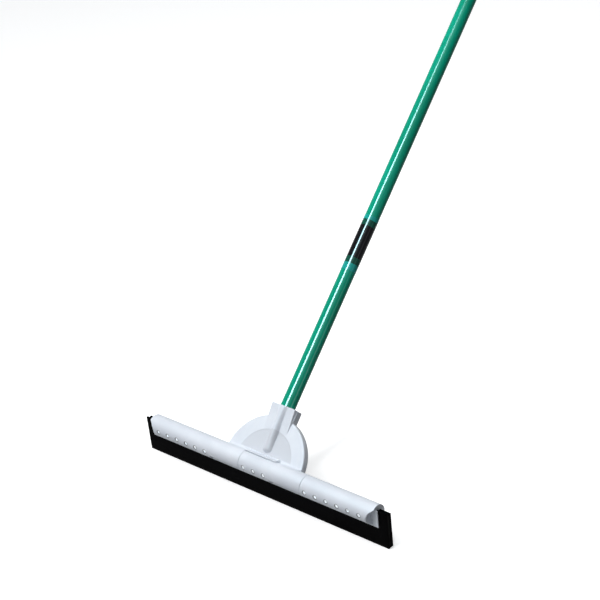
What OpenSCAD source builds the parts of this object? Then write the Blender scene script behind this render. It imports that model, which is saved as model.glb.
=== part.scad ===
// Floor squeegee. Two rubber sheets are riveted between the shells of a round holder. The two collars of
// a moulded bracket lie in grooves round the holder and turn there, and the bracket carries the pole.
// Origin: middle of the blade's lower edge. +X along the head, +Y to the back, +Z up.

/* [Blade] */
// Length of the two rubber sheets
blade_l = 450; // [300:5:600]
// Thickness of one rubber sheet
sheet_t = 5; // [4:0.5:7]
// Height of the holder's axis above the blade's lower edge
axis_h = 48; // [40:1:70]
// How far the front sheet stands above the holder's axis
front_rise = 8; // [5:0.5:9]
// How far the back sheet's back face stands above the holder's axis
back_rise = 5; // [3:0.5:6]
// Width that the notch between the sheets takes from each sheet
notch_w = 2.4; // [1.5:0.1:3]
// Height of the notch's floor above the holder's axis
notch_floor = 3; // [2.4:0.1:3.5]

/* [Holder] */
// Wall of the holder's two shells
shell_t = 2; // [1.8:0.1:2.5]
// Room between the back sheet and the back shell at the holder's axis
back_room = 5.4; // [4:0.1:7]
// How far the holder's axis lies behind the blade's front face
axis_in = 2.4; // [1.5:0.1:3]
// How far the blade stands out of the lips at each end
blade_overhang = 14; // [5:1:30]
// How far the round part ends inside the lips, at the height of the axis
end_inset = 11.6; // [9:0.2:20]
// Radius of the scoops that end the front of the round part
scoop_r = 17; // [14:0.5:20]
// How far the scoops' centres lie below the holder's axis
scoop_drop = 3; // [0:0.5:5]
// How far the back of the round part ends inside the lips
back_inset = 2.5; // [2:0.1:5]
// How far the lips reach below the holder's axis
lip_drop = 17.8; // [16:0.2:25]
// Thickness of the lips
lip_t = 1.4; // [1:0.1:2]
// How far the front shell's end tabs stand above the holder's axis
tab_rise = 8.5; // [4:0.5:9]

/* [Rivets] */
// Number of places in the row of rivets, those under the collars left empty
rivet_n = 21; // [11:2:25]
// Distance from the last rivet to the holder's end, at the height of the axis
rivet_edge = 11.4; // [8:0.2:20]
// Radius of a rivet's shank
rivet_r = 1.5; // [1:0.1:2]
// Radius of a rivet's heads
rivet_head_r = 2.8; // [2.4:0.1:3]
// Thickness of a rivet's heads
rivet_head_t = 0.8; // [0.5:0.1:0.9]
// Depth of the seats that the heads lie in
rivet_seat = 1.4; // [1.3:0.1:1.6]
// Wall of the bosses round the rivets
boss_t = 2.2; // [1.6:0.1:3]
// Radial room round the rivets
rivet_room = 0.1; // [0.05:0.05:0.2]

/* [Bracket] */
// Lean of the pole from upright, in degrees
pole_lean = 47; // [35:1:50]
// Wall of the two collars
collar_t = 2; // [1.5:0.1:2.4]
// Length of one collar
collar_l = 57.5; // [45:0.5:70]
// Length of the open window between the collars
window_l = 56; // [40:1:70]
// Angle from the pole to the collar's front edge, in degrees
collar_front = 157; // [140:1:160]
// Angle from the pole to the collar's back edge, in degrees
collar_back = 70; // [50:1:70]
// Running room between the holder and the collars
hinge_room = 0.3; // [0.2:0.1:0.5]
// Room between the holder and the saddle in the window
window_room = 0.4; // [0.3:0.1:1]
// Thickness of the saddle in the window
saddle_t = 1.6; // [1.2:0.1:2.5]
// Angle from the pole to the saddle's front edge, in degrees
saddle_front = 36; // [20:1:50]
// Radius of the half disc
disc_r = 69; // [60:1:80]
// Height of the disc's centre above the holder's axis, along the pole
disc_rise = 7.7; // [5:0.1:12]
// Distance of the disc's front face behind the holder's axis
face_back = -0.3; // [-1:0.1:1]
// Thickness of the disc's plate
plate_t = 3; // [2:0.1:4]
// Depth of the disc's rim
rim_d = 11.5; // [10:0.5:16]
// Thickness of the disc's rim
rim_t = 2.6; // [2:0.1:4]
// Rounding of the disc's front edge
rim_round = 2.2; // [1:0.1:2.8]
// Radius of the shallow recess in the disc's front
recess_r = 48; // [40:0.5:52]
// Depth of the recess
recess_d = 0.6; // [0.3:0.1:1]
// Thickness of the stiffening ribs behind the plate
rib_t = 2; // [1.5:0.1:3]

/* [Neck and socket] */
// Width of the neck
neck_w = 43.4; // [36:0.2:50]
// Height of the neck's top above the holder's axis, along the pole
neck_top = 91.5; // [88:0.5:100]
// Height where the neck's sloping front runs out into the disc
neck_foot = 54.5; // [48:0.5:64]
// How far the neck's front stands out of the disc at the top
neck_proud = 6.5; // [5:0.5:9]
// Wall of the neck
neck_t = 3; // [2:0.1:4]
// Radius of the socket's round front at the top
socket_top_r = 9; // [8.5:0.1:10]
// Radius of the socket's round front at the bottom
socket_foot_r = 8; // [7:0.1:8.8]
// Height of the socket's round bottom end above the holder's axis
socket_foot = 28; // [25:0.5:32]
// How far the socket's front stands out of the neck at the top
socket_proud_top = 3.6; // [2:0.1:4]
// How far the socket's front stands out of the disc at the bottom
socket_proud_foot = 4.2; // [2:0.1:5]
// Wall of the socket behind the pole and the plug
socket_t = 2.3; // [1.8:0.1:3]

/* [Pole] */
// Outside radius of the pole
pole_r = 11; // [9.5:0.1:11.5]
// Wall of the pole
pole_t = 1; // [0.8:0.1:1.5]
// Length of the pole
pole_l = 1240; // [800:10:1600]
// Distance of the pole's axis behind the holder's axis
pole_back = 4.1; // [3.6:0.1:5.5]
// Depth that the pole's drawn-in end sits in the neck
pole_seat = 8; // [5:0.5:10]
// How far the pole is drawn in where it sits in the neck
pole_step = 0.4; // [0.2:0.1:0.6]
// Radius of the plug's tip
plug_r = 6.5; // [5:0.1:7]
// Length of the plug's tip
plug_tip_l = 44; // [30:1:46]
// Length of the plug inside the pole
plug_body_l = 40; // [25:1:60]
// Radial room of the plug, the pole and the cap in their seats
seat_room = 0.1; // [0.05:0.05:0.2]
// Height of the label's lower edge above the holder's axis, along the pole
label_z = 306.5; // [200:0.5:500]
// Length of the label
label_l = 87; // [50:1:150]
// Thickness of the label
label_t = 0.15; // [0.1:0.05:0.3]

/* [Cap] */
// Depth of the cap inside the pole
cap_d = 25; // [15:1:40]
// Wall of the cap, which is a cup with its floor at the pole's end
cap_t = 2; // [1.5:0.1:4]
// How far the cap's face lies below the pole's rim
cap_sink = 0.5; // [0.2:0.1:2]
// Bevel at the cap's inner end, which leads it into the pole
cap_bevel = 1; // [0.3:0.1:1.3]

/* [Hidden] */
$fn = 96;
small_fn = 32;
// Overlap that makes a cut or a joined shape run past a face
over = 1;

// The holder takes its radius from the sheets that it holds
tube_in_r = 2 * sheet_t - axis_in + back_room;
tube_r = tube_in_r + shell_t;
axis_y = axis_in - sheet_t;
lip_l = blade_l - 2 * blade_overhang;
body_l = lip_l - 2 * end_inset;
round_l = lip_l - 2 * back_inset;
scoop_x = body_l / 2 + sqrt(pow(scoop_r, 2) - pow(scoop_drop, 2));
// Front face of the front lip, which the scoops run out to
tab_y = -sheet_t - lip_t - axis_y;
back_reach = sheet_t - axis_y;
tip_rise = 1;
back_tip = back_rise + tip_rise;

// The collars fill the grooves to the holder's outside, so that both are flush
collar_r = tube_r - collar_t;
land_r = collar_r - hinge_room;
groove_in = window_l / 2 - hinge_room;
groove_out = window_l / 2 + collar_l + hinge_room;
// The groove's back end is the shoulder that stops the pole, and its front end runs out at the blade
stop_gap = 2.5;
groove_back = pole_lean + collar_back + stop_gap;
groove_front = 175;
land_wall = 8;

rivet_front_y = axis_y - tube_r + rivet_seat;
rivet_back_y = axis_y + tube_r - rivet_seat;
hole_r = rivet_r + rivet_room;
boss_r = hole_r + boss_t;
rivet_row = [for (i = [0 : rivet_n - 1]) (body_l / 2 - rivet_edge) * (2 * i / (rivet_n - 1) - 1)];
rivet_x = [for (x = rivet_row) if (abs(x) < groove_in - boss_r || abs(x) > groove_out + boss_r) x];
rivet_hollow_r = rivet_r * 0.55;
rivet_hollow_d = 4;

saddle_r = tube_r + window_room;
saddle_tie = 3;
dish_foot = 4.5;
rib_x = [-53, -33, 33, 53];
rib_step = 2;
pole_in_r = pole_r - pole_t;
pole_z = neck_top - pole_seat;
pole_end = pole_z + pole_l;
plug_end = pole_z - plug_tip_l;
plug_chamfer = 1.5;
pole_end_r = pole_r - pole_step;
seat_r = pole_end_r + seat_room;
cap_r = pole_in_r - seat_room;
cap_foot = pole_end - cap_d;
cap_face = pole_end - cap_sink;
label_room = 0.02;
label_in_r = pole_r + label_room;

plastic = [0.83, 0.85, 0.89];
rubber = [0.04, 0.04, 0.04];
green = [0.03, 0.45, 0.33];

// Solid round bar along X
module bar_x(r, l, fn = $fn) {
    rotate([0, 90, 0]) cylinder(r = r, h = l, center = true, $fn = fn);
}

// Solid round bar along Y from y0 to y1
module bar_y(r, y0, y1, fn = small_fn) {
    translate([0, y0, 0]) rotate([-90, 0, 0]) cylinder(r = r, h = y1 - y0, $fn = fn);
}

// Outline in the YZ plane carried along X over a length, centred
module along_x(l) {
    rotate([90, 0, 90]) linear_extrude(height = l, center = true) children();
}

// Frame of the holder: its axis runs along X through the origin
module at_axis() {
    translate([0, axis_y, axis_h]) children();
}

// Frame of the bracket and the pole: +Z along the pole, +Y to its back
module at_pole() {
    at_axis() rotate([-pole_lean, 0, 0]) children();
}

// Frame of the pole's own axis
module at_pole_axis() {
    at_pole() translate([0, pole_back, 0]) children();
}

// Part of a ring round X, from an angle behind the top to an angle in front of it, both in degrees
module ring(r, t, x, l, back, front) {
    rotate([0, 90, 0]) rotate([0, 0, 180 - back]) rotate_extrude(angle = back + front)
        translate([r, x]) square([t, l]);
}

// The two grooves for the collars, grown by a wall on every side
module grooves(wall, turn) {
    l = groove_out - groove_in + 2 * wall;
    for (x = [-groove_out - wall, groove_in - wall])
        ring(land_r - wall, tube_r - land_r + wall + over, x, l, groove_back + turn, groove_front);
}

// The two scoops at the ends of the holder's front, grown by a wall, from the front to y
module scoops(wall, y) {
    for (x = [-scoop_x, scoop_x])
        translate([x, 0, -scoop_drop]) bar_y(scoop_r + wall, -2 * tube_r, y, $fn);
}

// Round part of the holder: a closed tube with a wall of even thickness under the grooves and the scoops
module holder_tube() {
    difference() {
        bar_x(tube_r, round_l);
        grooves(0, 0);
        scoops(0, tab_y);
        difference() {
            bar_x(tube_in_r, round_l - 2 * shell_t);
            grooves(shell_t, land_wall);
            scoops(shell_t, tab_y + lip_t);
        }
    }
}

// Space in front of (side = -1) or behind (side = 1) the blade, and of the middle plane above it
module holder_half(side) {
    w = 4 * tube_r;
    low = side < 0 ? -w - sheet_t : sheet_t;
    top = side < 0 ? -w : 0;
    rise = side < 0 ? front_rise : back_tip;
    translate([-lip_l, low - axis_y, -w]) cube([2 * lip_l, w, 2 * w]);
    translate([-lip_l, top - axis_y, rise]) cube([2 * lip_l, w, w]);
}

// Lip that presses on the blade below the round part, and the tabs at the front lip's ends
module lip(side) {
    y = side < 0 ? tab_y : back_reach;
    back_mid = sqrt(pow(tube_in_r + shell_t / 2, 2) - pow(back_reach + lip_t / 2, 2));
    lip_top = side < 0 ? land_r - shell_t / 2 : back_mid;
    translate([-lip_l / 2, y, -lip_drop]) cube([lip_l, lip_t, lip_drop - lip_top]);
    tab_l = lip_l / 2 - scoop_x + scoop_r + shell_t / 2;
    if (side < 0)
        for (x = [-lip_l / 2, lip_l / 2 - tab_l])
            translate([x, y, -lip_drop]) cube([tab_l, lip_t, lip_drop + tab_rise]);
}

// One shell of the holder, with its lip, rivet bosses and rivet seats
module holder_shell(side) {
    skin = side * (tube_in_r + shell_t / 2);
    face = side * sheet_t - axis_y;
    seat = (side < 0 ? rivet_front_y : rivet_back_y) - axis_y;
    outside = side * (tube_r + over);
    at_axis() difference() {
        union() {
            intersection() {
                holder_tube();
                holder_half(side);
            }
            lip(side);
            for (x = rivet_x)
                translate([x, 0, 0]) bar_y(boss_r, min(skin, face), max(skin, face));
        }
        for (x = rivet_x) translate([x, 0, 0]) {
            bar_y(hole_r, min(outside, face - side), max(outside, face - side));
            bar_y(rivet_head_r + rivet_room, min(outside, seat), max(outside, seat));
        }
    }
}

module holder_front() {
    color(plastic) holder_shell(-1);
}

module holder_back() {
    color(plastic) holder_shell(1);
}

// Rubber sheet with its section in the YZ plane and the rivet holes through it
module sheet(section) {
    difference() {
        along_x(blade_l) polygon(section);
        for (x = rivet_x)
            translate([x, 0, axis_h]) bar_y(hole_r, -sheet_t - over, sheet_t + over);
    }
}

module blade_front() {
    top = axis_h + front_rise;
    color(rubber) sheet([[-sheet_t, 0], [0, 0], [0, axis_h + notch_floor], [-notch_w, top], [-sheet_t, top]]);
}

module blade_back() {
    color(rubber) sheet([[0, 0], [sheet_t, 0], [sheet_t, axis_h + back_rise],
                         [notch_w, axis_h + back_tip], [0, axis_h + notch_floor]]);
}

// Tubular rivet along Y: two flat heads, and a hollow that opens to the front
module rivet() {
    difference() {
        union() {
            bar_y(rivet_r, rivet_front_y - rivet_head_t, rivet_back_y + rivet_head_t);
            bar_y(rivet_head_r, rivet_front_y - rivet_head_t, rivet_front_y);
            bar_y(rivet_head_r, rivet_back_y, rivet_back_y + rivet_head_t);
        }
        bar_y(rivet_hollow_r, rivet_front_y - rivet_head_t - over, rivet_front_y + rivet_hollow_d);
    }
}

module clamp_rivets() {
    color("silver") for (x = rivet_x) translate([x, 0, axis_h]) rivet();
}

// Half disc: a plate with a rim turned back and a shallow recess, its front edge rounded, open behind
module dish() {
    edge = [for (a = [0 : 15 : 90])
        [disc_r - rim_round + rim_round * sin(a), rim_round - rim_round * cos(a)]];
    section = concat([[0, recess_d], [recess_r - recess_d, recess_d], [recess_r, 0]], edge,
        [[disc_r, rim_d], [disc_r - rim_t, rim_d], [disc_r - rim_t, plate_t], [0, plate_t]]);
    intersection() {
        translate([0, face_back, disc_rise]) rotate([-90, 0, 0]) rotate_extrude() polygon(section);
        translate([-disc_r, -disc_r, dish_foot]) cube(2 * disc_r);
    }
}

// Upright ribs across the open back of the disc
module dish_ribs() {
    intersection() {
        for (x = rib_x)
            translate([x - rib_t / 2, face_back + plate_t / 2, dish_foot])
                cube([rib_t, rim_d - plate_t / 2 - rib_step, 2 * disc_r]);
        translate([0, 0, disc_rise]) bar_y(disc_r - rim_t / 2, 0, face_back + rim_d, $fn);
    }
}

// Neck outline in the YZ plane: upright behind, sloping in front, drawn in by wall
module neck_outline(wall, back) {
    polygon([[face_back - neck_proud + wall, neck_top - wall], [back, neck_top - wall],
             [back, neck_foot - wall], [face_back + wall, neck_foot - wall]]);
}

module neck() {
    back = face_back + rim_d;
    difference() {
        along_x(neck_w) neck_outline(0, back);
        along_x(neck_w - 2 * neck_t) neck_outline(neck_t, back + over);
    }
}

// Everything behind the front face of the neck and the disc
module behind_face() {
    far = pole_back + 3 * pole_r;
    along_x(neck_w) polygon([[face_back - neck_proud, neck_top], [far, neck_top], [far, 0],
                             [face_back, 0], [face_back, neck_foot]]);
}

// Socket for the pole's plug: a tapered round front with a ball end, and a round back
module socket() {
    top_y = face_back - neck_proud - socket_proud_top + socket_top_r;
    foot_y = face_back - socket_proud_foot + socket_foot_r;
    run = neck_top - socket_foot;
    tilt = atan((foot_y - top_y) / run);
    long = run / cos(tilt);
    intersection() {
        translate([0, foot_y, socket_foot]) union() {
            sphere(r = socket_foot_r);
            rotate([tilt, 0, 0])
                cylinder(r1 = socket_foot_r, r2 = socket_top_r, h = long + socket_top_r);
        }
        translate([-disc_r, -disc_r, 0]) cube([2 * disc_r, 2 * disc_r, neck_top]);
    }
    intersection() {
        union() {
            translate([0, pole_back, plug_end - socket_t])
                cylinder(r = plug_r + seat_room + socket_t, h = neck_top - plug_end + socket_t);
            translate([0, pole_back, pole_z - socket_t])
                cylinder(r = seat_r + socket_t, h = pole_seat + socket_t);
        }
        behind_face();
    }
}

// C-shaped collars that lie in the holder's grooves
module collars() {
    for (x = [-window_l / 2 - collar_l, window_l / 2])
        ring(collar_r, collar_t, x, collar_l, collar_back, collar_front);
}

// Curved flange of the plate over the holder in the window, tied to the collars at its ends
module saddle() {
    half = window_l / 2;
    root = asin(plate_t / 2 / saddle_r);
    ring(saddle_r, saddle_t, -half - saddle_tie, window_l + 2 * saddle_tie, root, saddle_front);
    tie_r = tube_r - collar_t / 4;
    tie_l = saddle_tie / 2;
    for (x = [-half - 1.5 * tie_l, half + tie_l / 2])
        ring(tie_r, saddle_r + saddle_t / 2 - tie_r, x, tie_l, root / 2, saddle_front - root / 2);
}

module bracket() {
    color(plastic) at_pole() difference() {
        union() {
            difference() {
                union() {
                    dish();
                    dish_ribs();
                    neck();
                    socket();
                }
                bar_x(collar_r + collar_t / 2, 4 * disc_r);
                bar_x(saddle_r + saddle_t / 2, window_l + saddle_tie);
            }
            collars();
            saddle();
        }
        translate([0, pole_back, pole_z]) cylinder(r = seat_r, h = pole_seat + over);
        translate([0, pole_back, plug_end]) cylinder(r = plug_r + seat_room, h = plug_tip_l + over);
    }
}

module pole() {
    color(green) at_pole_axis() difference() {
        union() {
            translate([0, 0, pole_z]) cylinder(r = pole_end_r, h = pole_l);
            translate([0, 0, neck_top]) cylinder(r = pole_r, h = pole_l - pole_seat);
        }
        translate([0, 0, pole_z - over]) cylinder(r = pole_in_r, h = pole_l + 2 * over);
    }
}

// Plug fixed in the pole's lower end, with the tip that goes into the socket
module pole_plug() {
    color("dimgray") at_pole_axis() {
        translate([0, 0, plug_end]) cylinder(r1 = plug_r - plug_chamfer, r2 = plug_r, h = plug_chamfer);
        translate([0, 0, plug_end + plug_chamfer]) cylinder(r = plug_r, h = plug_tip_l);
        translate([0, 0, pole_z]) cylinder(r = pole_in_r - seat_room, h = plug_body_l);
    }
}

module pole_label() {
    color("black") at_pole_axis() translate([0, 0, label_z]) difference() {
        cylinder(r = label_in_r + label_t, h = label_l);
        translate([0, 0, -over]) cylinder(r = label_in_r, h = label_l + 2 * over);
    }
}

// Cap pressed into the pole's upper end, a cup that lies just below the rim
module pole_cap() {
    color(plastic) at_pole_axis() difference() {
        union() {
            translate([0, 0, cap_foot]) cylinder(r1 = cap_r - cap_bevel, r2 = cap_r, h = cap_bevel);
            translate([0, 0, cap_foot + cap_bevel]) cylinder(r = cap_r, h = cap_face - cap_foot - cap_bevel);
        }
        translate([0, 0, cap_foot - over]) cylinder(r = cap_r - cap_t, h = cap_face - cap_t - cap_foot + over);
    }
}

holder_front();
holder_back();
blade_front();
blade_back();
clamp_rivets();
bracket();
pole();
pole_plug();
pole_label();
pole_cap();
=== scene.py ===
# %% [markdown]
# # A floor squeegee, dressed for the camera
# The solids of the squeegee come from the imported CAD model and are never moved. This lesson gives each
# of them the skin that the real object shows: moulded plastic with soft edges, rubber, a lacquered pole
# and its film label. The holder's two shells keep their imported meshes, and the other pieces get finer ones.
# Lengths of pieces are written in millimetres, as on a drawing, and become metres when a mesh is made.
# Lamps, the floor and the scales of textures are in metres.

import math

import bpy
import numpy as np
from mathutils import Matrix, Vector


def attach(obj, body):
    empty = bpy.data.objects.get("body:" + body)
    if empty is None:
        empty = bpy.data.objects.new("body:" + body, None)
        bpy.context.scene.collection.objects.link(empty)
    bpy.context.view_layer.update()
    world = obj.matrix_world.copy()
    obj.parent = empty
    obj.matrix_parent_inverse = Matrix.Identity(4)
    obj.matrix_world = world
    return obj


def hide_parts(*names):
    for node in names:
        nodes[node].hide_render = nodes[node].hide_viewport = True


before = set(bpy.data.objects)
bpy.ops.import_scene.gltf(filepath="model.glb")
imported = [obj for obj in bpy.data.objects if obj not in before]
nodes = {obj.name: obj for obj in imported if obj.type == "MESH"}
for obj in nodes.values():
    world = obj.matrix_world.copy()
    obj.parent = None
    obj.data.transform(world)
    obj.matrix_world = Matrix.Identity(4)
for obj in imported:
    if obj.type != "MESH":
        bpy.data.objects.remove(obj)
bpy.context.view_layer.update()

# %% [markdown]
# ## Two frames
# The head lies along X, with its lower edge on the floor. The bracket and the pole are easier to draw in
# a frame of their own, which sits on the holder's axis with its third axis along the pole. One function
# carries points from there into the common frame, so no piece is ever placed by eye.

# %% Frames of the head and the pole
MM = 0.001
AXIS_Y, AXIS_Z = -2.6, 48.0
LEAN = math.radians(47)
ALONG = (0.0, math.sin(LEAN), math.cos(LEAN))
POLE_BACK = 4.1


def from_pole(points):
    """Points (across, behind, up the pole) turned back by the lean and moved to the holder's axis."""
    across, behind, up = np.moveaxis(np.asarray(points, float), -1, 0)
    y = AXIS_Y + behind * math.cos(LEAN) + up * math.sin(LEAN)
    z = AXIS_Z - behind * math.sin(LEAN) + up * math.cos(LEAN)
    return np.stack([across, y, z], -1)


print("pole direction", [round(share, 4) for share in ALONG])

# %% [markdown]
# ## The camera
# The camera was solved from the photograph: the even row of rivets gives the direction of the head and
# its distance, and the pole gives a second direction. A lens of 84 mm on a 36 mm sensor is the focal
# length of 1400 pixels that fits both. The directions of the head and the pole and the place of the row's
# middle are written as the camera sees them: to the right, down and away from it.

# %% Camera
FOCAL_PX, FRAME_PX, SENSOR, VIEW_END = 1400.0, 600.0, 36.0, 50.0
ROW_CENTRE = np.array([0.0, -17.6, 48.0])
HEAD_AXIS = np.array([0.7606, 0.2342, -0.6055])
POLE_AXIS = np.array([0.4039, -0.9009, 0.1588])
ROW_FROM_CAMERA = np.array([-66.1791, 239.6837, 1954.9005])

HEAD_AXIS /= np.linalg.norm(HEAD_AXIS)
POLE_AXIS -= HEAD_AXIS * (POLE_AXIS @ HEAD_AXIS)
POLE_AXIS /= np.linalg.norm(POLE_AXIS)
TO_VIEWER = np.cross(HEAD_AXIS, POLE_AXIS)
TO_VIEWER *= -np.sign(TO_VIEWER[2])
UP = math.cos(LEAN) * POLE_AXIS + math.sin(LEAN) * TO_VIEWER
BACK = math.sin(LEAN) * POLE_AXIS - math.cos(LEAN) * TO_VIEWER
IN_FRAME = np.stack([HEAD_AXIS, BACK, UP])
place = ROW_CENTRE - IN_FRAME @ ROW_FROM_CAMERA
axes = IN_FRAME @ np.diag([1.0, -1.0, -1.0])

lens = bpy.data.cameras.new("photo_camera")
lens.sensor_width = SENSOR
lens.lens = FOCAL_PX / FRAME_PX * SENSOR
lens.clip_end = VIEW_END
camera = bpy.data.objects.new("photo_camera", lens)
bpy.context.scene.collection.objects.link(camera)
turn = Matrix([list(row) for row in axes]).to_4x4()
camera.matrix_world = Matrix.Translation((place * MM).tolist()) @ turn
bpy.context.scene.camera = camera
print("camera at", (place * MM).round(3), "handedness", round(float(np.linalg.det(axes)), 4))

# %% [markdown]
# ## From arrays to meshes
# Every new piece below is a stack of closed rings: one array of shape (rings, points, 3) holds the whole
# surface. Neighbouring rings are joined by quads and the first and last ring are closed by flat faces, so
# a piece is always watertight. The sign of its volume tells whether the faces point outwards, which is
# safer than trusting the direction in which a profile was drawn.

# %% Rings to a closed solid
def solid(rings):
    """Closed surface over a stack of closed rings: quads between rings, one flat face at each end."""
    rings = np.asarray(rings, float)
    rows, cols = rings.shape[:2]
    index = np.arange(rows * cols).reshape(rows, cols)
    right = np.roll(index, -1, axis=1)
    quads = np.stack([index[:-1], right[:-1], right[1:], index[1:]], -1).reshape(-1, 4)
    points = rings.reshape(-1, 3)
    a, b, c, d = points[quads].swapaxes(0, 1)
    volume = np.einsum("ij,ij->", a, np.cross(b, c)) + np.einsum("ij,ij->", a, np.cross(c, d))
    for end, sign in ((rings[0], -1.0), (rings[-1], 1.0)):
        hub, rim = end.mean(0), np.roll(end, -1, axis=0)
        volume += sign * np.einsum("ij,ij->", np.broadcast_to(hub, end.shape), np.cross(end, rim))
    faces = quads.tolist() + [index[0, ::-1].tolist(), index[-1].tolist()]
    if volume < 0:
        faces = [face[::-1] for face in faces]
    return points, faces


def piece(name, parts, body, node, sharp=32.0):
    """One mesh object from several closed solids in millimetres, smooth except across sharp edges."""
    starts = np.cumsum([0] + [len(points) for points, _ in parts])
    points = np.concatenate([points for points, _ in parts]) * MM
    faces = [[i + s for i in f] for (_, fs), s in zip(parts, starts) for f in fs]
    mesh = bpy.data.meshes.new(name)
    mesh.from_pydata(points.tolist(), [], faces)
    mesh.shade_smooth()
    mesh.set_sharp_from_angle(angle=math.radians(sharp))
    thing = bpy.data.objects.new(name, mesh)
    bpy.context.scene.collection.objects.link(thing)
    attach(thing, body)
    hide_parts(node)
    print(name, len(parts), "solids", len(points), "points", len(faces), "faces")
    return thing


# %% [markdown]
# ## Profiles
# Moulded, cut and rolled pieces have no razor edges. A polygon's corners are therefore replaced by short
# arcs before it is carried along a path, and the ends of a prism are drawn in over the same radius. A
# Bevel modifier could do this too, but here the radius of each corner stays under control.

# %% Rounded outlines and prisms
def rounded(corners, radii, steps=6):
    """Polygon with arcs for corners: each arc touches both sides at radius / tan(half angle)."""
    corners = np.asarray(corners, float)
    radii = np.broadcast_to(np.asarray(radii, float), len(corners))[:, None]
    to_prev = np.roll(corners, 1, axis=0) - corners
    to_next = np.roll(corners, -1, axis=0) - corners
    to_prev /= np.linalg.norm(to_prev, axis=1, keepdims=True)
    to_next /= np.linalg.norm(to_next, axis=1, keepdims=True)
    half = 0.5 * np.arccos(np.clip((to_prev * to_next).sum(1, keepdims=True), -1, 1))
    middle = to_prev + to_next
    middle /= np.linalg.norm(middle, axis=1, keepdims=True)
    hub = corners + middle * radii / np.sin(half)
    first = corners + to_prev * radii / np.tan(half) - hub
    last = corners + to_next * radii / np.tan(half) - hub
    t = np.linspace(0, 1, steps)[None, :, None]
    arc = first[:, None] * (1 - t) + last[:, None] * t
    arc *= radii[:, None] / np.linalg.norm(arc, axis=2, keepdims=True)
    return (hub[:, None] + arc).reshape(-1, 2)


def ring_normals(outline):
    """Unit outward normals of a counter-clockwise outline: the tangent turned by a right angle."""
    tangent = np.roll(outline, -1, axis=0) - np.roll(outline, 1, axis=0)
    normal = np.stack([tangent[:, 1], -tangent[:, 0]], 1)
    return normal / np.linalg.norm(normal, axis=1, keepdims=True)


def prism_x(outline, x0, x1, edge=0.6, slices=2):
    """Outline (y, z) carried along X; an end shrinks by edge (1 - sin) while x moves by edge (1 - cos)."""
    turn = np.linspace(0, 0.5 * np.pi, 5)
    inset = edge * (1 - np.sin(turn))
    move = edge * (1 - np.cos(turn))
    x = np.concatenate([x0 + move, np.linspace(x0 + edge, x1 - edge, slices + 1)[1:-1], (x1 - move)[::-1]])
    draw = np.concatenate([inset, np.zeros(slices - 1), inset[::-1]])
    rings = outline[None] - draw[:, None, None] * ring_normals(outline)[None]
    return solid(np.concatenate([np.broadcast_to(x[:, None, None], rings.shape[:2] + (1,)), rings], -1))


print("corner test", rounded([(0, 0), (2, 0), (2, 2), (0, 2)], 0.5, 3).round(2)[:3].tolist())

# %% [markdown]
# ## The two rubber sheets
# The blade is two sheets of cellular rubber pressed together. Their tops are cut to a shallow V that shows
# at the ends of the holder. Each is one outline in the YZ plane carried along X, with barely broken edges,
# since rubber is cut and not moulded here.

# %% Rubber sheets
BLADE_HALF, SHEET, NOTCH, NOTCH_FLOOR = 225.0, 5.0, 2.4, 51.0
FRONT_TOP, BACK_TOP, BACK_TIP = 56.0, 53.0, 54.0
SEAM, CUT_EDGE, BLADE_SLICES = 0.05, 0.7, 60
front_sheet = rounded([(-SHEET, 0), (-SEAM, 0), (-SEAM, NOTCH_FLOOR), (-NOTCH, FRONT_TOP),
                       (-SHEET, FRONT_TOP)], [CUT_EDGE, 0.5, 0.3, 0.5, 0.6])
back_sheet = rounded([(SEAM, 0), (SHEET, 0), (SHEET, BACK_TOP), (NOTCH, BACK_TIP), (SEAM, NOTCH_FLOOR)],
                     [0.5, CUT_EDGE, 0.6, 0.5, 0.3])
blade_front = piece("rubber_front", [prism_x(front_sheet, -BLADE_HALF, BLADE_HALF, CUT_EDGE, BLADE_SLICES)],
                    "head", "blade_front")
blade_back = piece("rubber_back", [prism_x(back_sheet, -BLADE_HALF, BLADE_HALF, CUT_EDGE, BLADE_SLICES)],
                   "head", "blade_back")

# %% [markdown]
# ## Turned pieces
# Pole, label, plug, cap and rivets are round, so they come from one lathe: a profile of (radius, height)
# pairs is spun round an axis and a frame carries it into place. The pole's steel tube is drawn in where it
# sits in the neck, and its edges are rolled. The label is a thin sleeve round the pole. The plug fills the
# pole's foot, and its narrow tip reaches down into the socket.

# %% Lathe
def spun(profile, sides=64):
    """Rings of a profile spun round the third axis: (r cos t, r sin t, h) for each pair and angle."""
    r, h = np.asarray(profile, float).T
    t = np.linspace(0, 2 * np.pi, sides, endpoint=False)
    flat = np.broadcast_to(h[:, None], (len(h), sides))
    return np.stack([r[:, None] * np.cos(t), r[:, None] * np.sin(t), flat], -1)


def quarter(r, h, radius, start, end, steps=6):
    """Arc of (radius, height) pairs round (r, h), from one angle to another in degrees."""
    t = np.radians(np.linspace(start, end, steps))
    return np.stack([r + radius * np.cos(t), h + radius * np.sin(t)], 1)


def upright(r, low, high, count):
    """Straight stretch of a profile: pairs of one radius at even heights."""
    return np.stack([np.full(count, r), np.linspace(low, high, count)], 1)


def on_pole(rings):
    """Rings round the pole's own axis, carried into the common frame."""
    return from_pole(np.asarray(rings) + [0.0, POLE_BACK, 0.0])


def tube_on_pole(profile):
    """Tube round the pole's axis from a closed profile, whose first ring comes again as the last."""
    rings = spun(profile, 72)
    return solid(on_pole(np.concatenate([rings, rings[:1]])))


print("lathe test", spun([(1.0, 2.0)], 4).round(2).tolist())

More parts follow.
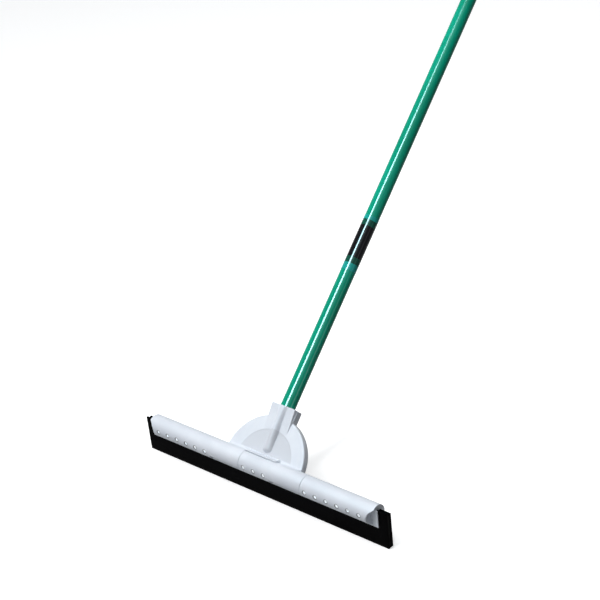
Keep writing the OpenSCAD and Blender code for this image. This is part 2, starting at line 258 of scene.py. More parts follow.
# %% Pole
POLE_R, POLE_BORE, FIT_R, ROLLED = 11.0, 10.0, 10.6, 0.3
NECK_TOP, NECK_ROUND, POLE_FOOT, POLE_END = 91.5, 0.4, 83.5, 1323.5
outside = np.concatenate([[(POLE_BORE + 0.05, POLE_FOOT + ROLLED)],
                          quarter(FIT_R - ROLLED, POLE_FOOT + ROLLED, ROLLED, -90, 0),
                          [(FIT_R, NECK_TOP - NECK_ROUND)],
                          quarter(FIT_R, NECK_TOP + NECK_ROUND, NECK_ROUND, -90, 0),
                          upright(POLE_R, NECK_TOP + 1, POLE_END - 1, 40),
                          quarter(POLE_R - ROLLED, POLE_END - ROLLED, ROLLED, 0, 90)])
bore = [(POLE_BORE, POLE_END), (POLE_BORE, POLE_FOOT + 1)]
pole = piece("steel_pole", [tube_on_pole(np.concatenate([outside, bore]))], "handle", "pole")

# %% Label
LABEL_FOOT, LABEL_L, LABEL_R, LABEL_ROOM, FILM_EDGE = 306.5, 87.0, 11.17, 0.02, 0.06
LABEL_TOP = LABEL_FOOT + LABEL_L
film = np.concatenate([quarter(LABEL_R - FILM_EDGE, LABEL_FOOT + FILM_EDGE, FILM_EDGE, -90, 0, 4),
                       upright(LABEL_R, LABEL_FOOT + 1, LABEL_TOP - 1, 30),
                       quarter(LABEL_R - FILM_EDGE, LABEL_TOP - FILM_EDGE, FILM_EDGE, 0, 90, 4),
                       [(POLE_R + LABEL_ROOM, LABEL_TOP), (POLE_R + LABEL_ROOM, LABEL_FOOT)]])
label = piece("pole_film", [tube_on_pole(film)], "handle", "pole_label")

# %% Plug
PLUG_R, PLUG_TIP_R, PLUG_FOOT, PLUG_TOP, PLUG_HUB = 9.9, 6.5, 39.5, 123.5, 0.4
plug_profile = np.concatenate([[(PLUG_HUB, PLUG_FOOT)],
                               quarter(PLUG_TIP_R - 1.5, PLUG_FOOT + 1.5, 1.5, -90, 0),
                               [(PLUG_TIP_R, POLE_FOOT), (PLUG_R, POLE_FOOT)],
                               quarter(PLUG_R - 0.5, PLUG_TOP - 0.5, 0.5, 0, 90), [(PLUG_HUB, PLUG_TOP)]])
plug = piece("plug", [solid(on_pole(spun(plug_profile, 48)))], "handle", "pole_plug")

# %% [markdown]
# ## The cap
# The photograph cuts the pole off, so the upper end is the plainest usual one: a plastic cup pressed into
# the tube, whose face lies just below the rim and is slightly crowned, with a ring around the gate mark.

# %% Cap
CAP_R, CAP_T, CAP_DEEP, CAP_FACE, CAP_HUB = 9.9, 2.0, 25.0, POLE_END - 0.5, 0.3
CAP_BORE, CAP_ROOF, CAP_FOOT = CAP_R - CAP_T, CAP_FACE - CAP_T, POLE_END - CAP_DEEP
cap_profile = np.concatenate([[(CAP_HUB, CAP_ROOF), (CAP_BORE - 0.5, CAP_ROOF)],
                              quarter(CAP_BORE - 0.5, CAP_ROOF - 0.5, 0.5, 90, 0),
                              [(CAP_BORE, CAP_FOOT), (CAP_R - 1.0, CAP_FOOT), (CAP_R, CAP_FOOT + 1.0)],
                              quarter(CAP_R - 0.6, CAP_FACE - 0.9, 0.6, 0, 80),
                              [(7.5, CAP_FACE - 0.22), (5.0, CAP_FACE - 0.1), (2.6, CAP_FACE - 0.02)],
                              [(2.3, CAP_FACE - 0.3), (1.6, CAP_FACE - 0.35), (CAP_HUB, CAP_FACE - 0.35)]])
cap = piece("end_cap", [solid(on_pole(spun(cap_profile, 64)))], "handle", "pole_cap")

# %% [markdown]
# ## The rivets
# Fifteen tubular rivets clamp the sheets. Their rolled heads lie in small seats, and the hollow shank
# shows as a dark dot in the middle of each head. They are turned on the same lathe and laid along Y. The
# second to fourth places on either side of the middle lie under the collars and stay empty.

# %% Rivets
PITCH, LAST_PLACE, RIVET_FRONT, RIVET_BACK = 18.8, 10, -16.2, 11.0
SHANK_R, HEAD_R, HEAD_T, ROLL_T = 1.5, 2.8, 0.8, 0.78
HOLLOW_R, HOLLOW_D, RIVET_HUB = 0.82, 4.0, 0.05
steps = np.arange(-LAST_PLACE, LAST_PLACE + 1)
places = PITCH * steps[(np.abs(steps) < 2) | (np.abs(steps) > 4)]
roll = np.radians(np.linspace(180, 360, 13))
rolled = np.stack([(HEAD_R + HOLLOW_R) / 2 + (HEAD_R - HOLLOW_R) / 2 * np.cos(roll),
                   RIVET_FRONT + ROLL_T * np.sin(roll)], 1)
hollow = RIVET_FRONT + HOLLOW_D
head = np.concatenate([[(RIVET_HUB, hollow), (HOLLOW_R, hollow - 0.4)], rolled,
                       [(SHANK_R, RIVET_FRONT + 0.02), (SHANK_R, RIVET_BACK), (HEAD_R, RIVET_BACK)],
                       quarter(HEAD_R - HEAD_T, RIVET_BACK, HEAD_T, 0, 90, 5),
                       [(RIVET_HUB, RIVET_BACK + HEAD_T)]])


def along_y(rings):
    """Lathe rings with their axis turned from Z to Y, and the axis at the holder's height."""
    return np.stack([rings[..., 0], rings[..., 2], AXIS_Z - rings[..., 1]], -1)


one = along_y(spun(head, 24))
rivets = piece("rivets", [solid(one + [x, 0.0, 0.0]) for x in places],
               "head", "clamp_rivets")
print("rivet row from", places[0], "to", places[-1])

# %% [markdown]
# ## The bracket's front
# The bracket is one moulding: a half disc with a rim turned back, a neck that slopes out of it, and a
# round socket rib that runs down the neck and ends in a ball. Drawn as separate blocks it would show hard
# seams, so the whole front is one height field. Its levels are joined by a smooth maximum, which is what a
# fillet does in the mould, and a circular fillet runs out on the collars below.

# %% Levels of the front
FACE, PLATE, RIM_D, RIM_T, EDGE = -0.3, 3.0, 11.5, 2.6, 2.2
DISC_R, DISC_UP = 69.0, 7.7
NECK_HALF, NECK_FOOT, PROUD, WALL = 21.7, 54.5, 6.5, 3.0
RECESS_R, RECESS_D = 48.0, 0.6
TUBE_R, COLLAR_IN, SADDLE_IN, SADDLE_OUT = 15.0, 13.0, 15.4, 17.0
WINDOW, COLLAR_L, FILLET = 28.0, 57.5, 4.0


def smooth_max(a, b, k):
    """Larger of a and b, rounded over a band of width k: max + (k - |a - b|)^2 / 4k inside the band."""
    gap = np.maximum(k - np.abs(a - b), 0.0)
    return np.maximum(a, b) + gap * gap / (4.0 * k)


def ease(t):
    """Smooth step from 0 to 1: 3 t^2 - 2 t^3 on the clipped value."""
    t = np.clip(t, 0.0, 1.0)
    return t * t * (3.0 - 2.0 * t)


def neck_level(up, base=0.0):
    """How far the neck's front stands out of the plate: a ramp that leaves the base with a small round."""
    return smooth_max(base, PROUD * (up - NECK_FOOT) / (NECK_TOP - NECK_FOOT), 0.3)


def recess_level(x, up):
    """Floor of the shallow recess in the half disc, below the plate, with an eased wall 1.5 mm wide."""
    return -RECESS_D * ease((RECESS_R + 0.4 - np.hypot(x, up - DISC_UP)) / 1.5)


def socket_level(x, up):
    """Round rib over the plate: a cone leaning out towards the top, ended by a ball and a little waisted."""
    foot_up, foot_r, foot_proud, top_r, top_proud, waisted = 28.0, 8.0, 4.2, 9.0, 3.6, 0.28
    t = np.clip((up - foot_up) / (NECK_TOP - foot_up), 0, 1)
    r = foot_r + (top_r - foot_r) * t
    hub = (foot_proud - foot_r) + (PROUD + top_proud - top_r - foot_proud + foot_r) * t
    below = np.minimum(up - foot_up, 0.0)
    waist = 1.0 + waisted * np.sin(np.pi * t)
    reach = r * r - (x * waist) ** 2 - below * below
    return np.where(reach > 0, hub + np.sqrt(np.maximum(reach, 1e-9)), hub - 3.0)


def window_share(x):
    """1 in the open window between the collars, 0 over the collars, eased over 1.5 mm."""
    return ease((WINDOW + 1.5 - np.abs(x)) / 1.5)


def front_level(x, up):
    """Height of the front over the plate: plate, neck and socket joined by smooth maxima, plus a fillet."""
    box = ease((NECK_HALF - np.abs(x)) / 0.7)
    plate = recess_level(x, up)
    plate = plate + (neck_level(up, plate) - plate) * box
    level = smooth_max(plate, socket_level(x, up), 3.0)
    base = TUBE_R + (SADDLE_OUT - TUBE_R) * window_share(x)
    hub_up = np.sqrt((base + FILLET) ** 2 - (FACE - FILLET) ** 2)
    drop = np.clip(hub_up - up, 0.0, 0.98 * FILLET)
    fillet = FILLET - np.sqrt(FILLET**2 - drop**2)
    return level + fillet


print("front level at the neck's top", front_level(np.array([0.0, 15.0]), np.array([88.0, 88.0])).round(2))

# %% [markdown]
# ## The bracket's shell
# Each ring of the shell is a level section across the pole: along the front from rim to rim, round the
# rim, and back along the inside. Above the disc the same columns close up on the neck's sides, so the disc
# and the neck need no joint. The lowest rings follow the collars' round outside.

# %% Columns of a section
COLUMN_END = 22.6
NEAR = np.concatenate([np.arange(0, 12.01, 0.5), np.arange(13.2, 19.3, 1.2),
                       np.linspace(19.9, COLUMN_END, 16)])
FAR = np.linspace(0, 1, 30)[1:]


def chord(r, off):
    """Half the width of a circle at a distance from its centre: sqrt(r^2 - off^2), and 0 outside."""
    return np.sqrt(np.maximum(r**2 - off**2, 0.0))


def front_columns(up, off):
    """Points (x, behind) along the front, from the middle to the edge of the disc or of the neck."""
    flat = chord(DISC_R - EDGE, off)
    near = np.minimum(np.broadcast_to(NEAR, (len(up), len(NEAR))), np.maximum(flat, NECK_HALF))
    least = NECK_HALF + 0.02 * np.arange(1, len(FAR) + 1)
    far = np.maximum(COLUMN_END + (flat - COLUMN_END) * FAR, least)
    x = np.concatenate([near, far], 1)
    return x, FACE - front_level(x, np.broadcast_to(up, x.shape))


def rim_columns(off):
    """Points round the rim: its round front edge, its outside, its back edge and the start of its inside."""
    arc = np.linspace(0, 0.5 * np.pi, 7)[1:]
    back = FACE + RIM_D
    deep = [FACE + 4.0, FACE + 7.0, back - 0.8, back - 0.25, back, back, back - 0.8]
    reach = [DISC_R, DISC_R, DISC_R, DISC_R - 0.25, DISC_R - 0.8, DISC_R - RIM_T + 0.8, DISC_R - RIM_T]
    r = np.concatenate([DISC_R - EDGE + EDGE * np.sin(arc), reach])
    y = np.concatenate([FACE + EDGE * (1 - np.cos(arc)), deep])
    least = np.concatenate([NECK_HALF + 0.3 + 0.01 * np.arange(10), NECK_HALF - np.array([0.6, 2.4, WALL])])
    x = np.maximum(chord(r, off), least)
    return x, np.broadcast_to(y, x.shape)


def back_columns(up, off):
    """Points along the plate's back, from the rim's inside to the middle, hollowed behind the neck."""
    inside = np.maximum(chord(DISC_R - RIM_T, off), NECK_HALF - WALL)
    x = inside * np.concatenate([np.linspace(1, 0.35, 8), np.linspace(0.3, 0.0, 8)])
    hollow = neck_level(np.broadcast_to(up, x.shape)) * ease((NECK_HALF - WALL - np.abs(x)) / 1.5)
    return x, FACE + PLATE - hollow


def bracket_section(rows):
    """Points (x, behind) of the right half for every row: the front, rim and back columns in turn."""
    up = rows[:, None]
    off = np.abs(up - DISC_UP)
    columns = front_columns(up, off), rim_columns(off), back_columns(up, off)
    return [np.concatenate(axis, 1) for axis in zip(*columns)]


print("half width at the disc's centre", round(float(bracket_section(np.array([DISC_UP]))[0].max()), 2))

# %% Bracket shell
TOP_ROUND, TOP_HALF_DEPTH = 1.4, 9.0
FOOT_REACH, FOOT_FADE, FOOT_SINK, FOOT_DEEP = 30.0, 15.0, 0.5, 11.0
turn = np.linspace(0, 0.5 * np.pi, 6)
rows = np.concatenate([np.linspace(14.3, 26, 26), np.linspace(26.6, 80, 82),
                       np.linspace(80.6, NECK_TOP - TOP_ROUND, 10)[:-1],
                       NECK_TOP - TOP_ROUND + TOP_ROUND * np.sin(turn)])
x, y = bracket_section(rows)
x_all = np.concatenate([x, -x[:, -2:0:-1]], 1)
y_all = np.concatenate([y, y[:, -2:0:-1]], 1)
pull = np.maximum(rows - (NECK_TOP - TOP_ROUND), 0.0)[:, None]
pull = TOP_ROUND - chord(TOP_ROUND, pull)
middle_y = 0.5 * (y_all.max(1) + y_all.min(1))[:, None]
x_all = x_all * (1 - pull / NECK_HALF)
y_all = middle_y + (y_all - middle_y) * (1 - pull / TOP_HALF_DEPTH)


def foot_up(x, y):
    """Height of the foot: a round about the holder's axis, wider in the window than beside it."""
    base = (TUBE_R - FOOT_SINK) + (SADDLE_OUT - TUBE_R) * window_share(x)
    return chord(base, np.minimum(np.abs(y), FOOT_DEEP))


fade = ease((FOOT_REACH - rows) / FOOT_FADE)[:, None]
drop = np.clip((FOOT_REACH - rows[:, None]) / (FOOT_REACH - rows[0]), 0, 1)
up_all = rows[:, None] + (foot_up(x_all, y_all) - rows[0]) * fade * drop
shut = np.array([0.03, 0.2, 0.4, 0.6, 0.8])[:, None]
y_shut = middle_y[0] + (y_all[0] - middle_y[0]) * shut
x_shut = np.broadcast_to(x_all[0], y_shut.shape)
shut_rings = np.stack([x_shut, y_shut, foot_up(x_shut, y_shut)], -1)
shell = solid(from_pole(np.concatenate([shut_rings, np.stack([x_all, y_all, up_all], -1)])))
print("shell rings", x_all.shape)

# %% [markdown]
# ## Collars, saddle and ribs
# Two collars lie in the holder's grooves, flush with it, and a thin saddle bridges the window between them,
# joined to the collars by two short ties. The bracket has a little play along the head and rests at the
# left, so its seams open on the right. Each of these is a rounded rectangle carried round the holder's axis.
# Behind the plate stand four upright ribs, the neck's side walls, its lid and the back of the socket, as in
# the solids.

# %% Rings round the holder
def around(r0, r1, x0, x1, back, front, corner, slices=64):
    """Rounded rectangle (across, radius) carried round X from an angle behind the pole to one before it."""
    section = rounded([(x0, r0), (x1, r0), (x1, r1), (x0, r1)], corner)
    t = np.radians(np.linspace(-back, front, slices))
    ease_in = np.radians(2.2) * np.array([0.0, 0.3, 1.0])
    t = np.concatenate([t[0] + ease_in, t[1:-1], t[-1] - ease_in[::-1]])
    draw = np.zeros(len(t))
    draw[[0, 1, -2, -1]] = [0.7, 0.25, 0.25, 0.7]
    section = section[None] - draw[:, None, None] * ring_normals(section)[None]
    across, r = section[..., 0], section[..., 1]
    return solid(from_pole(np.stack([across, -r * np.sin(t)[:, None], r * np.cos(t)[:, None]], -1)))


PLAY, SADDLE_LAP = 0.26, 0.6
COLLAR_BACK, COLLAR_FRONT, SADDLE_BACK, SADDLE_FRONT, TIE_BACK, TIE_FRONT = 70, 157, 5.6, 36, 3, 33
TIE_X, TIE_T, TIE_IN, TIE_OUT = 28.75, 1.5, 14.5, 16.2
collars = [around(COLLAR_IN, TUBE_R, x0 - PLAY, x0 + COLLAR_L - PLAY, COLLAR_BACK, COLLAR_FRONT,
                  [0.3, 0.3, 0.6, 0.12]) for x0 in (-WINDOW - COLLAR_L, WINDOW)]
saddle = around(SADDLE_IN, SADDLE_OUT, -WINDOW - SADDLE_LAP, WINDOW + SADDLE_LAP,
                SADDLE_BACK, SADDLE_FRONT, 0.6, 16)
ties = [around(TIE_IN, TIE_OUT, x0, x0 + TIE_T, TIE_BACK, TIE_FRONT, 0.3, 12)
        for x0 in (-TIE_X - TIE_T, TIE_X)]
print("rings round the holder", len(collars + ties) + 1)

# %% Ribs, neck walls and socket back
RIB_X, RIB_HALF, RIB_FOOT, RIB_LOW = (-53, -33, 33, 53), 1.0, 13.2, 2.0
SIDE_X, SIDE_T, SIDE_FOOT, SIDE_TOP = 18.5, 3.1, 56.0, 90.5
LID_HALF, LID_FRONT, LID_FOOT = 20.6, -4.6, 88.1
BOSSES = ((8.9, 37.2, 90.0), (12.6, 81.2, 91.2))


def raised(outline, heights, draw):
    """Outline (across, behind) carried up the pole through some heights, drawn in by a length at each."""
    rings = outline[None] - draw[:, None, None] * ring_normals(outline)[None]
    level = np.broadcast_to(heights[:, None, None], rings.shape[:2] + (1,))
    return solid(from_pole(np.concatenate([rings, level], -1)))


def block(x0, x1, y0, y1, z0, z1, corner=0.6):
    """Rounded rectangle (across, behind) carried up the pole, drawn in at both ends."""
    outline = rounded([(x0, y0), (x1, y0), (x1, y1), (x0, y1)], corner)
    heights = np.array([z0, z0 + 0.2, z0 + 0.7, z1 - 0.7, z1 - 0.2, z1])
    return raised(outline, heights, np.array([0.6, 0.2, 0.0, 0.0, 0.2, 0.6]))


def rib(x):
    """Upright rib behind the plate from the collar to the rim's inside."""
    top = DISC_UP + math.sqrt((DISC_R - RIM_T / 2) ** 2 - (abs(x) + RIB_HALF) ** 2)
    return block(x - RIB_HALF, x + RIB_HALF, FACE + PLATE / 2, FACE + RIM_D - RIB_LOW, RIB_FOOT, top, 0.5)


def socket_back(r, z0, z1):
    """D-shaped boss behind the plate: half a circle round the pole's axis, closed by a flat front."""
    t = np.radians(np.linspace(0, 180, 40))
    outline = np.stack([r * np.cos(t), POLE_BACK + r * np.sin(t)], 1)
    outline = np.concatenate([outline, [(-r, 1.0), (-r / 2, 1.0), (0, 1.0), (r / 2, 1.0), (r, 1.0)]])
    return raised(outline, np.array([z0, z0 + 0.4, z0 + 1.2, z1]), np.array([1.2, 0.4, 0.0, 0.0]))


ribs = [rib(x) for x in RIB_X]
walls = [block(x0, x0 + SIDE_T, 0.0, FACE + RIM_D, SIDE_FOOT, SIDE_TOP) for x0 in (-SIDE_X - SIDE_T, SIDE_X)]
lid = block(-LID_HALF, LID_HALF, LID_FRONT, FACE + RIM_D - 0.3, LID_FOOT, NECK_TOP - 0.1)
bosses = [socket_back(r, low, high) for r, low, high in BOSSES]
bracket = piece("bracket_moulding", [shell, saddle, lid] + collars + ties + ribs + walls + bosses,
                "handle", "bracket")

# %% [markdown]
# ## Writing shaders as sums
# A finish is easier to read as arithmetic than as a drawing of nodes. A small class holds one output
# socket; adding, subtracting or multiplying it makes the Math node. Every other node comes from a single
# method that takes its type, its settings and its inputs.

# %% Sockets with arithmetic
class Wire:
    """An output socket. Sums, differences and products with numbers or other wires become Math nodes."""

    def __init__(self, finish, socket):
        self.finish, self.socket = finish, socket

    def _math(self, operation, a, b):
        return self.finish.node("ShaderNodeMath", {"operation": operation}, {0: a, 1: b})

    def __add__(self, other):
        return self._math("ADD", self, other)

    def __sub__(self, other):
        return self._math("SUBTRACT", self, other)

    def __rsub__(self, other):
        return self._math("SUBTRACT", other, self)

    def __mul__(self, other):
        return self._math("MULTIPLY", self, other)

    __radd__, __rmul__ = __add__, __mul__


class Finish:
    """A material being written, or a given node tree of the world, with the coordinates that it reads."""

    def __init__(self, name, tree=None):
        if tree:
            self.tree = tree
            self.place = self.node("ShaderNodeTexCoord", {}, {}, "Generated")
            return
        self.material = bpy.data.materials.new(name)
        self.material.use_nodes = True
        self.tree = self.material.node_tree
        self.shader = self.tree.nodes["Principled BSDF"]
        self.place = self.node("ShaderNodeTexCoord", {}, {}, "Object")

    def feed(self, socket, value):
        """Lead a wire to an input socket, or write a plain value into it."""
        if isinstance(value, Wire):
            self.tree.links.new(value.socket, socket)
        else:
            socket.default_value = value

    def node(self, kind, settings, inputs, output=0):
        """New node: settings first, then a value or a wire for each socket; gives back one output."""
        made = self.tree.nodes.new(kind)
        for key, value in settings.items():
            setattr(made, key, value)
        for key, value in inputs.items():
            self.feed(made.inputs[key], value)
        return Wire(self, made.outputs[output])

    def set(self, **inputs):
        """Values and wires for the Principled shader's sockets, with spaces written as underscores."""
        for key, value in inputs.items():
            self.feed(self.shader.inputs[key.replace("_", " ")], value)

    def axis(self, letter):
        """One coordinate of the place: X, Y or Z."""
        return self.node("ShaderNodeSeparateXYZ", {}, {"Vector": self.place}, letter)

    def dot(self, direction):
        """How far the place lies along a direction."""
        inputs = {0: self.place, 1: direction}
        return self.node("ShaderNodeVectorMath", {"operation": "DOT_PRODUCT"}, inputs, "Value")

    def length(self, a, b):
        """Length of two legs at right angles: sqrt(a^2 + b^2)."""
        return self.node("ShaderNodeMath", {"operation": "SQRT"}, {0: a * a + b * b})

    def noise(self, scale, detail=3.0, stretch=(1.0, 1.0, 1.0), rough=0.55):
        """Noise in the object's own frame, stretched along its axes; scale counts per metre."""
        where = self.node("ShaderNodeMapping", {}, {"Vector": self.place, "Scale": stretch})
        return self.node("ShaderNodeTexNoise", {}, {"Vector": where, "Scale": scale, "Detail": detail,
                                                    "Roughness": rough}, "Fac")

    def ramp(self, value, low, high, a=0.0, b=1.0):
        """Value mapped from low..high to a..b, smoothly and clipped."""
        return self.node("ShaderNodeMapRange", {"interpolation_type": "SMOOTHSTEP"},
                         {"Value": value, "From Min": low, "From Max": high, "To Min": a, "To Max": b})

    def mix(self, share, a, b):
        """Colour from a to b by a share."""
        a, b = [colour if isinstance(colour, Wire) else (*colour, 1.0) for colour in (a, b)]
        return self.node("ShaderNodeMix", {"data_type": "RGBA"}, {0: share, 6: a, 7: b}, 2)

    def front(self):
        """1 where the surface faces the viewer, falling to 0.03 where it turns away."""
        turned = self.node("ShaderNodeLayerWeight", {}, {"Blend": 0.5}, "Facing")
        return self.ramp(turned, 0.080, 0.130, 1.0, 0.03)

    def shown(self):
        """1 for rays that show the background: those of the camera, of mirrors and of glass."""
        kinds = ("Camera", "Glossy", "Transmission")
        rays = [self.node("ShaderNodeLightPath", {}, {}, f"Is {kind} Ray") for kind in kinds]
        return self.ramp(rays[0] + rays[1] + rays[2], 0.0, 1.0)

    def bump(self, height, strength, distance):
        """Bump from a height in 0..1 over a distance in metres, led to Normal."""
        inputs = {"Height": height, "Strength": strength, "Distance": distance}
        self.set(Normal=self.node("ShaderNodeBump", {}, inputs, "Normal"))


print("shader kit ready")

# %% [markdown]
# ## Moulded plastic
# The holder, the bracket and the cap are a pale, slightly blue polypropylene with a satin skin: a fine
# spark-eroded grain, faint flow clouds from the mould, a few rubbed streaks along the head, and a little
# grime on the lower parts that wipe over wet floors. The middle of the half disc is a little darker, and a
# ring of painted shade lies round each rivet. Both are patches of another colour, found by a distance, so no
# image texture is needed.

# %% Patches on the plastic
ORIGIN = (math.sin(LEAN) * AXIS_Y + math.cos(LEAN) * AXIS_Z) * MM
PANEL_EDGE, PANEL_FOOT, PANEL_FULL = 0.6, 18.5, 20.0
# The ring of painted shade round each rivet: where it starts, where it is full, and how dark it gets.
SHADE_RING_R, SHADE_RING_FULL_R, SHADE_RING_SHARE = 4.2, 3.0, 0.85
BARE_FROM, BARE_TO, ROW_END, BLUR = 28.0, 85.0, 197.5, 0.5


def disc_panel(f):
    """1 in the darker middle of the disc, by the distance from the disc's centre, but 0 on the collars."""
    along = f.dot(ALONG)
    far = f.length(f.axis("X"), along - (ORIGIN + DISC_UP * MM))
    inside = f.ramp(far, (RECESS_R + PANEL_EDGE) * MM, (RECESS_R - PANEL_EDGE) * MM)
    return inside * f.ramp(along - ORIGIN, PANEL_FOOT * MM, PANEL_FULL * MM)


def rivet_painted_shade(f):
    """Share of painted shade in a ring round each rivet, by the distance from the nearest place that holds
    one.
    """
    side, half = f.axis("X"), PITCH * MM / 2
    step = f.node("ShaderNodeMath", {"operation": "WRAP"}, {0: side, 1: half, 2: -half})
    far = f.length(step, f.axis("Z") - AXIS_Z * MM)
    apart = f.node("ShaderNodeMath", {"operation": "ABSOLUTE"}, {0: side})
    past = [f.ramp(apart, (at - BLUR) * MM, (at + BLUR) * MM) for at in (BARE_FROM, BARE_TO, ROW_END)]
    bare = past[0] * (1.0 - past[1]) + past[2]
    return f.ramp(far, SHADE_RING_R * MM, SHADE_RING_FULL_R * MM, 0.0, SHADE_RING_SHARE) * (1.0 - bare)


print("no rivets from", BARE_FROM, "to", BARE_TO, "mm and past", ROW_END, "mm")

# %% Grey plastic
def moulded_plastic(name, streak, patch, patch_colour):
    """Pale satin plastic: cloudy base colour with one patch, grain in the bump, streaks in the roughness."""
    f = Finish(name)
    cloud = f.noise(22.0, 4.0)
    grain = f.noise(1500.0, 2.0)
    rubbed = f.ramp(f.noise(60.0, 5.0, streak), 0.56, 0.72)
    grime = f.ramp(f.axis("Z"), 0.048, 0.030) * f.ramp(f.noise(180.0, 5.0), 0.42, 0.66) * 0.35
    clean = f.mix(f.ramp(cloud, 0.3, 0.7), (0.665, 0.700, 0.765), (0.735, 0.765, 0.825))
    worn = f.mix(rubbed * 0.25, clean, (0.79, 0.80, 0.83))
    # The patch is painted shade round the rivets on the head, and a darker middle of the disc on the bracket.
    worn = f.mix(patch(f), worn, patch_colour)
    f.set(Base_Color=f.mix(grime, worn, (0.42, 0.42, 0.41)))
    f.set(Roughness=0.42 + 0.10 * cloud - 0.10 * rubbed + 0.15 * grime, IOR=1.49)
    f.bump(grain + 0.4 * rubbed, 0.12, 0.0002)
    return f.material


# On the head the patch is a ring of painted shade round each rivet, in dark grey.
plastic_along = moulded_plastic("pale_plastic_head", (0.12, 1.0, 1.0), rivet_painted_shade, (0.13, 0.14, 0.15))
plastic_up = moulded_plastic("pale_plastic_bracket", (1.0, 0.35, 0.35), disc_panel, (0.590, 0.610, 0.660))
print(plastic_along.name, plastic_up.name)

# %% [markdown]
# ## Rubber
# Cellular rubber is nearly black and dull. Its cut faces show fine pores, the lower edge is rubbed grey by
# the floor, and a faint bloom clouds the flat sides.

# %% Black rubber
f = Finish("black_rubber")
pores = f.node("ShaderNodeTexVoronoi", {}, {"Vector": f.place, "Scale": 900.0}, "Distance")
bloom = f.ramp(f.noise(35.0, 5.0, (0.3, 1.0, 1.0)), 0.45, 0.75)
rubbed = f.ramp(f.axis("Z"), 0.006, 0.0) * f.ramp(f.noise(120.0, 4.0, (0.25, 1.0, 1.0)), 0.35, 0.7)
soft = f.mix(bloom * 0.5, (0.0008, 0.0007, 0.0009), (0.0034, 0.0030, 0.0032))
f.set(Base_Color=f.mix(rubbed * 0.6, soft, (0.020, 0.019, 0.018)))
f.set(Roughness=0.62 + 0.16 * bloom + 0.10 * rubbed, Specular_IOR_Level=0.012)
f.bump(f.ramp(pores, 0.0, 0.45) + 0.5 * f.noise(400.0, 3.0), 0.18, 0.0003)
rubber = f.material
print(rubber.name, len(f.tree.nodes), "nodes")

# %% [markdown]
# ## Lacquered steel
# The pole is a steel tube with a green stove lacquer. Such a coat flows a little before it hardens, which
# leaves the long waves of orange peel, and handling rubs fine marks along the tube. The clear coat fades
# where the tube turns away, so that the white floor is not mirrored along both of its edges.

# %% Green lacquer
f = Finish("green_lacquer")
tone = f.noise(14.0, 3.0)
peel = f.noise(260.0, 1.0)
marks = f.ramp(f.noise(420.0, 4.0, (1.0, 0.10, 0.10)), 0.60, 0.78)
base = f.mix(f.ramp(tone, 0.3, 0.7), (0.0007, 0.278, 0.168), (0.0012, 0.328, 0.208))
coat = {"Coat_Roughness": 0.16, "Coat_IOR": 2.3, "Specular_IOR_Level": 0.04}
f.set(Base_Color=f.mix(marks * 0.22, base, (0.04, 0.42, 0.30)))
f.set(Roughness=0.20 + 0.10 * marks + 0.06 * tone, IOR=1.45)
f.set(Coat_Weight=(0.60 - 0.20 * marks) * f.front(), **coat)
f.bump(peel + 0.15 * marks, 0.06, 0.0004)
lacquer = f.material
print(lacquer.name, len(f.tree.nodes), "nodes")

# %% [markdown]
# ## The label
# A printed film is wrapped round the pole: dark green and pale teal bands frame a black field. The field is
# left bare. The bands are read from the height up the pole, so they stay level rings round the tube.

# %% Label film
TEAL, DARK, BLACK = (0.010, 0.330, 0.290), (0.004, 0.075, 0.050), (0.0045, 0.0045, 0.0060)
BANDS = ((11.2, DARK), (20.9, BLACK), (71.1, DARK), (80.6, TEAL))
BAND_EDGE = 0.06
f = Finish("label_film")
level = f.dot(ALONG) - (ORIGIN + LABEL_FOOT * MM)
print_colour = TEAL
for height, colour in BANDS:
    above = f.ramp(level, (height - BAND_EDGE) * MM, (height + BAND_EDGE) * MM)
    print_colour = f.mix(above, print_colour, colour)
rub = f.ramp(f.noise(300.0, 5.0, (1.0, 0.3, 0.3)), 0.58, 0.8)
f.set(Base_Color=f.mix(rub * 0.12, print_colour, (0.20, 0.22, 0.22)))
f.set(Roughness=0.30 + 0.22 * rub, Coat_Weight=(0.60 - 0.2 * rub) * f.front(), **coat)
f.bump(f.noise(500.0, 2.0), 0.03, 0.0002)
film_finish = f.material
print(film_finish.name, len(BANDS) + 1, "bands")

# %% [markdown]
# ## Metal and the hidden plug
# The rivets are aluminium with the fine rings left by rolling, dulled by water in the low spots. The plug
# inside the pole is a dark moulding that shows only when the part is taken apart.

# %% Rivet metal and plug
f = Finish("rivet_aluminium")
stain = f.ramp(f.noise(900.0, 4.0), 0.45, 0.7)
f.set(Base_Color=f.mix(stain, (0.92, 0.94, 0.97), (0.70, 0.72, 0.75)), Metallic=1.0)
f.set(Roughness=0.34 + 0.22 * stain)
f.bump(f.noise(3000.0, 2.0), 0.10, 0.0001)
aluminium = f.material

f = Finish("plug_plastic")
speck = f.noise(700.0, 4.0)
f.set(Base_Color=f.mix(speck, (0.060, 0.060, 0.062), (0.095, 0.095, 0.097)), Roughness=0.45 + 0.15 * speck)
f.bump(speck, 0.10, 0.0002)
plug_finish = f.material
print(aluminium.name, plug_finish.name)

# %% Finishes on pieces
for thing, finish in ((nodes["holder_front"], plastic_along), (nodes["holder_back"], plastic_along),
                      (blade_front, rubber), (blade_back, rubber), (rivets, aluminium),
                      (bracket, plastic_up), (pole, lacquer), (label, film_finish),
                      (plug, plug_finish), (cap, plastic_up)):
    thing.data.materials.clear()
    thing.data.materials.append(finish)
print(len(bpy.data.materials), "materials")

# %% [markdown]
# ## Floor and light
# The photograph is a studio cut-out on white. A wide floor takes the soft shadow under the blade. The camera
# and mirrors see it lifted to white by emission. Every other ray meets a duller floor, so it throws little
# light up under the holder. The sky is bright on the left and dim on the right, with a white band near the
# horizon for rays that show it. A wide lamp hangs overhead, a little to the left and in front, and a narrow
# strip lamp runs parallel to the pole. Both are hidden from glossy rays. A cool gleam just in front of the
# strip is met by glossy rays alone and draws the one bright line that the lacquer shows.

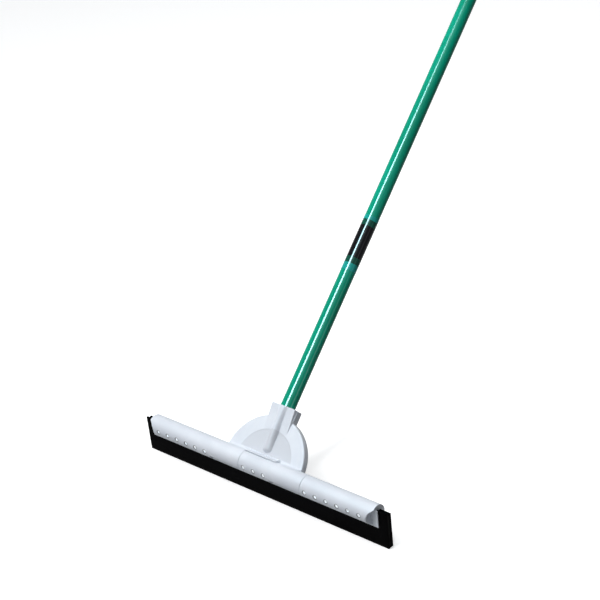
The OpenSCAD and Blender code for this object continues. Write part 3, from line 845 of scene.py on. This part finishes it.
# %% Floor
FLOOR_HALF, FLOOR_Z = 12.0, -0.0002
floor_mesh = bpy.data.meshes.new("floor")
corners = [(x * FLOOR_HALF, y * FLOOR_HALF, FLOOR_Z) for x, y in ((-1, -1), (1, -1), (1, 1), (-1, 1))]
floor_mesh.from_pydata(corners, [], [(0, 1, 2, 3)])
floor = bpy.data.objects.new("floor", floor_mesh)
bpy.context.scene.collection.objects.link(floor)
f = Finish("white_floor")
sees = f.shown()
f.set(Base_Color=f.mix(sees, (0.22, 0.22, 0.22), (0.80, 0.80, 0.80)))
f.set(Roughness=0.9, Specular_IOR_Level=0.1)
lift = f.node("ShaderNodeEmission", {}, {"Color": (1, 1, 1, 1), "Strength": 0.52})
plain = Wire(f, f.shader.outputs[0])
both = f.node("ShaderNodeAddShader", {}, {0: plain, 1: lift})
shown = f.node("ShaderNodeMixShader", {}, {0: sees, 1: plain, 2: both})
f.tree.links.new(shown.socket, f.tree.nodes["Material Output"].inputs["Surface"])
floor_mesh.materials.append(f.material)
print("floor", 2 * FLOOR_HALF, "m wide")

# %% World
world = bpy.data.worlds.new("studio")
bpy.context.scene.world = world
world.use_nodes = True
sky = Finish("sky", world.node_tree)
LIT_SIDE = (-0.62, -0.36, 0.70)
glow = sky.ramp(sky.dot(LIT_SIDE), 0.05, 0.85, 0.07, 0.62)
backdrop = sky.shown() * sky.ramp(sky.axis("Z"), 0.30, 0.15)
glow = glow + (1.0 - glow) * backdrop
sky.tree.links.new(glow.socket, sky.tree.nodes["Background"].inputs["Strength"])
sky.tree.nodes["Background"].inputs["Color"].default_value = (0.93, 0.97, 1.0, 1.0)
print(world.name, len(sky.tree.nodes), "nodes")

# %% Lamps
def lamp(name, at, aim, width, height, power, along=(0.0, 1.0, 0.0)):
    """Area lamp at a point in metres that looks at the aim, with its height along a direction."""
    light = bpy.data.lights.new(name, "AREA")
    light.shape, light.size, light.size_y = "RECTANGLE", width, height
    light.energy = power
    thing = bpy.data.objects.new(name, light)
    forward = (Vector(aim) - Vector(at)).normalized()
    length = Vector(along)
    length = (length - forward * length.dot(forward)).normalized()
    turn = Matrix([length.cross(-forward), length, -forward]).transposed()
    thing.matrix_world = Matrix.Translation(at) @ turn.to_4x4()
    bpy.context.scene.collection.objects.link(thing)
    return thing


softbox = lamp("overhead", (-0.75, -0.60, 2.6), (0.0, 0.1, 0.1), 3.0, 3.0, 33.0)
softbox.visible_glossy = False
STRIP_SIDE, STRIP_OFF, GLEAM_OFF = np.array([-0.062, -0.681, 0.730]), 1.5, 1.46
STRIP_UP, STRIP_L = 1300.0, 2.6
middle = from_pole([0.0, POLE_BACK, STRIP_UP]) * MM
strip = lamp("strip", tuple(middle + STRIP_OFF * STRIP_SIDE), tuple(middle), 0.26, STRIP_L, 20.0, ALONG)
strip.visible_glossy = False
gleam = lamp("gleam", tuple(middle + GLEAM_OFF * STRIP_SIDE), tuple(middle), 0.42, STRIP_L, 72.0, ALONG)
gleam.data.color = (0.55, 0.88, 1.0)
gleam.visible_diffuse = False
bpy.context.scene.view_settings.view_transform = "Standard"
